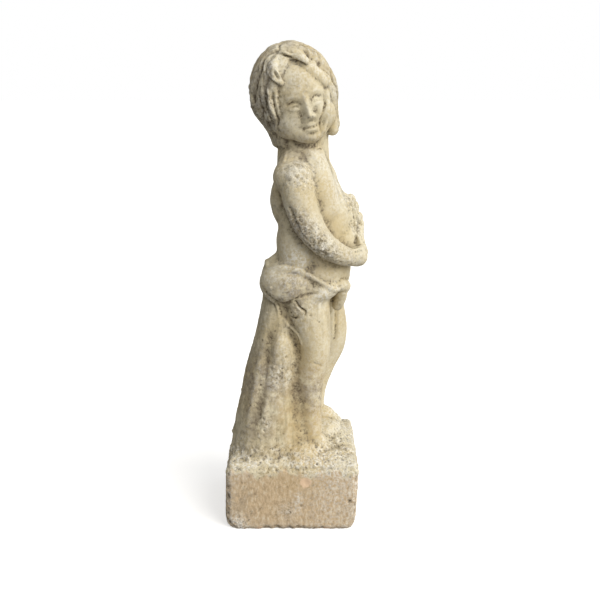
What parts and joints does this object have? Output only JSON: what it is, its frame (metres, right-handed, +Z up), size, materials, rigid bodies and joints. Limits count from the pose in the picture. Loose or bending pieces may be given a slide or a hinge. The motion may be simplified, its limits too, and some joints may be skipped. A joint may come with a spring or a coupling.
{
  "type": "garden putto statue",
  "caption": "Cast stone statue of a standing child in a loincloth, hands clasped at the belly, backed by a tree stump on a rocky mound and a square plinth.",
  "frame": {"origin": "on the plinth's underside, below the figure's axis", "axes": "+Z up, the figure's front faces -Y and its right side faces -X, with the head turned to -X"},
  "size_m": [0.202, 0.2212, 0.738],
  "materials": {
    "cast_stone": "weathered, matt and pitted"
  },
  "bodies": {
    "root": {"putto_statue": "cast_stone"}
  },
  "joints": []
}
